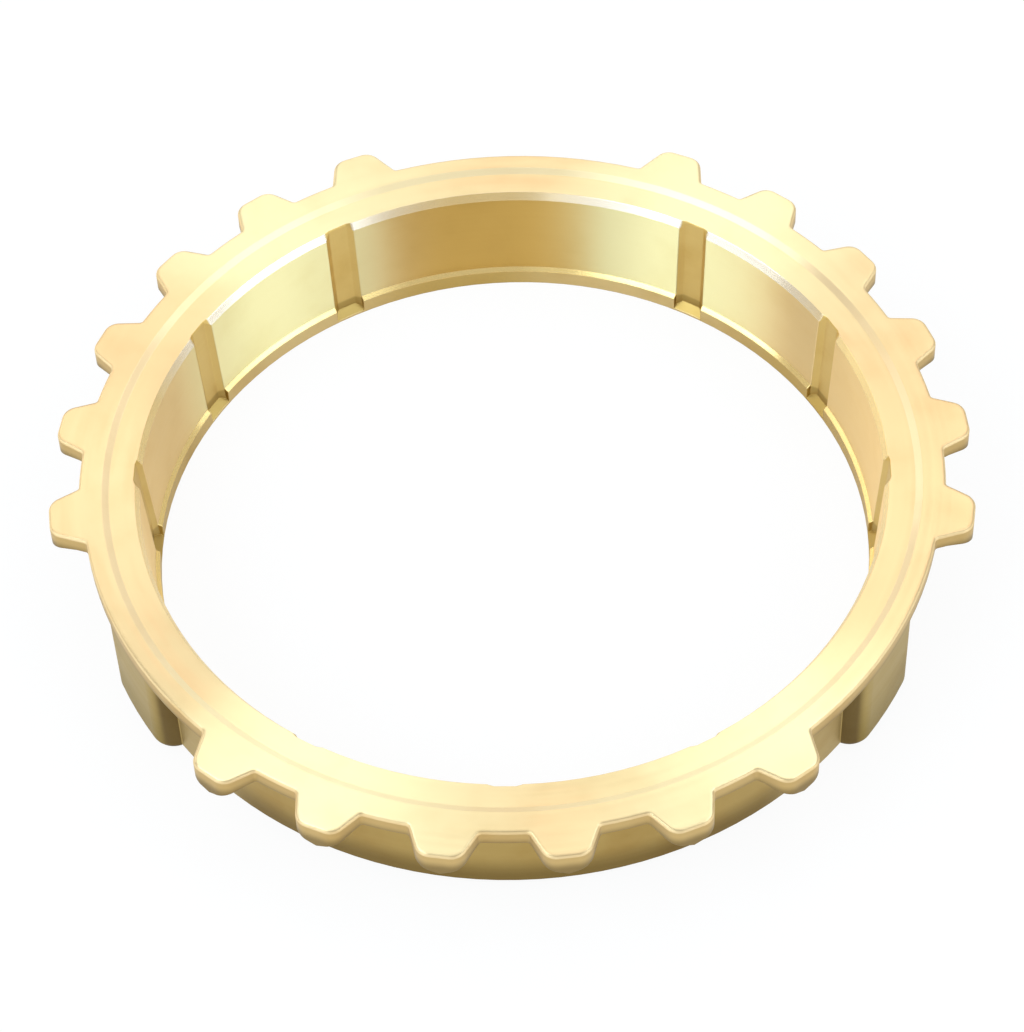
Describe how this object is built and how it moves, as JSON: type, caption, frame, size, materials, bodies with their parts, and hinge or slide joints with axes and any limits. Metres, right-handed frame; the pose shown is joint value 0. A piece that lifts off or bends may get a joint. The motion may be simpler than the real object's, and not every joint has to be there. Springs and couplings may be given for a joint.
{
  "type": "synchronizer ring",
  "caption": "Conical brass blocking ring with a toothed flange at its wide end, oil grooves along the friction cone and drive lugs on the outside of the body.",
  "frame": {"origin": "on the ring's axis, in the flat face at the narrow end of the friction cone, which the ring rests on", "axes": "+Z along the ring's axis, towards the toothed flange at the wide end; -Y through the middle of a group of teeth, +Y through the middle of a drive lug"},
  "size_m": [0.0854, 0.0828, 0.0122],
  "materials": {
    "brass": "turned and milled"
  },
  "bodies": {
    "root": {"synchronizer_ring": "brass"}
  },
  "joints": []
}
